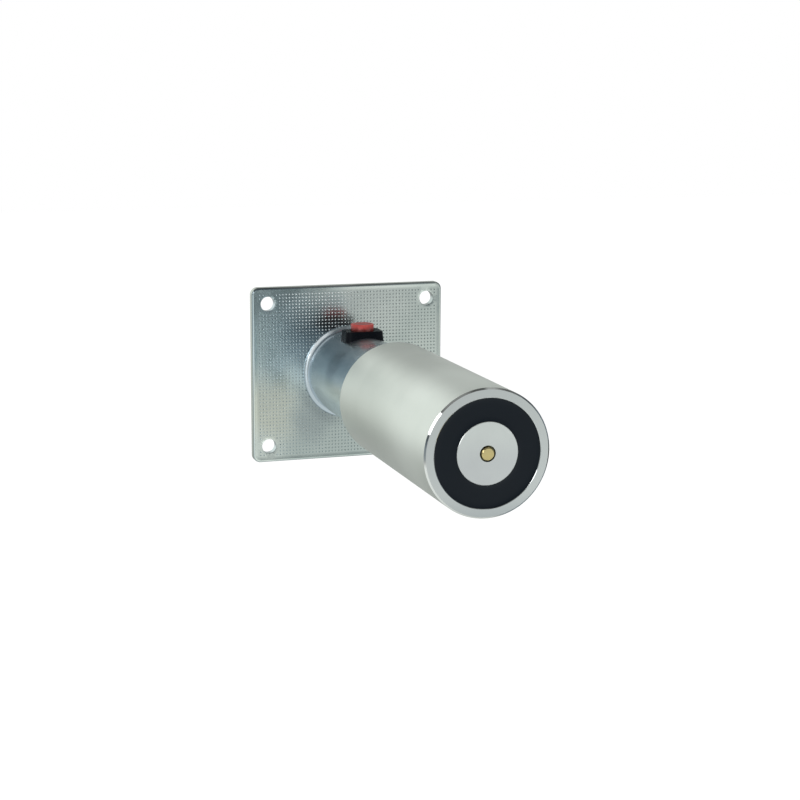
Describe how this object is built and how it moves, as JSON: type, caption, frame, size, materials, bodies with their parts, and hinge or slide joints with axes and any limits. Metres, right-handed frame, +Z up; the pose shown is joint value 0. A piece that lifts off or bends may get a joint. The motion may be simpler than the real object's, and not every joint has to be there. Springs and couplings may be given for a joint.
{
  "type": "holding magnet",
  "caption": "Electric holding magnet on a spacer tube with a wall plate, a red release push-button and a sprung ejector pin in the armature face.",
  "frame": {"origin": "on the wall plane, at the centre of the four fixing holes and on the tube axis", "axes": "-Y out of the wall along the tube to the armature face, +Z up towards the release button, X across"},
  "size_m": [0.11, 0.2258, 0.098],
  "materials": {
    "plate_steel": "zinc plated, flattened with a fine grid of dimples",
    "grommet_rubber": "moulded, dull",
    "weld_steel": "weld bead, plated",
    "tube_steel": "zinc plated, bright",
    "bezel_plastic": "polished black",
    "button_plastic": "polished red",
    "plunger_plastic": "moulded",
    "nut_metal": "nickel plated",
    "switch_plastic": "moulded",
    "cover_laminate": "pressed laminate",
    "contact_brass": "stamped",
    "spring_steel": "drawn wire",
    "housing_steel": "satin nickel",
    "ring_aluminium": "turned",
    "dark_steel": "blackened",
    "core_iron": "ground, satin nickel",
    "bobbin_plastic": "moulded",
    "copper_wire": "enamelled wire",
    "tape": "wound tape",
    "potting": "cast resin",
    "pin_brass": "turned",
    "board_laminate": "solder resist",
    "spacer_metal": "nickel plated",
    "screw_steel": "zinc plated",
    "block_plastic": "moulded",
    "diode_body": "moulded",
    "lead_red": "wire insulation",
    "lead_blue": "wire insulation",
    "lead_grey": "wire insulation"
  },
  "bodies": {
    "magnet": {"mounting_plate": "plate_steel", "cable_grommet": "grommet_rubber", "weld_bead": "weld_steel", "spacer_tube": "tube_steel", "button_bezel": "bezel_plastic", "saddle_washer": "switch_plastic", "bezel_nut": "nut_metal", "switch_housing": "switch_plastic", "switch_cover": "cover_laminate", "fixed_contacts": "contact_brass", "button_spring": "spring_steel", "magnet_housing": "housing_steel", "adapter_ring": "ring_aluminium", "grub_screws": "dark_steel", "pole_core": "core_iron", "yoke_disc": "core_iron", "coil_bobbin": "bobbin_plastic", "coil_winding": "copper_wire", "winding_tape": "tape", "potting_ring": "potting", "ejector_spring": "spring_steel", "spring_plug": "dark_steel", "terminal_board": "board_laminate", "board_spacers": "spacer_metal", "board_screws": "screw_steel", "terminal_block": "block_plastic", "terminal_screws": "screw_steel", "terminal_cages": "contact_brass", "suppressor_diode": "diode_body", "coil_lead_a": "lead_red", "coil_lead_b": "lead_blue", "switch_lead_a": "lead_grey", "switch_lead_b": "lead_grey"},
    "button": {"red_button": "button_plastic", "button_plunger": "plunger_plastic", "contact_bridge": "contact_brass"},
    "ejector": {"ejector_pin": "pin_brass"}
  },
  "joints": [
    {"name": "button_press", "type": "slide", "parent": "magnet", "child": "button", "axis": [0, 0, -1], "range_m": [0, 0.002], "stiffness_N_per_m": 600, "springref_m": -0.003, "deforming": ["button_spring"]},
    {"name": "ejector_slide", "type": "slide", "parent": "magnet", "child": "ejector", "axis": [0, 1, 0], "range_m": [0, 0.0008], "stiffness_N_per_m": 2500, "springref_m": -0.004, "deforming": ["ejector_spring"]}
  ]
}
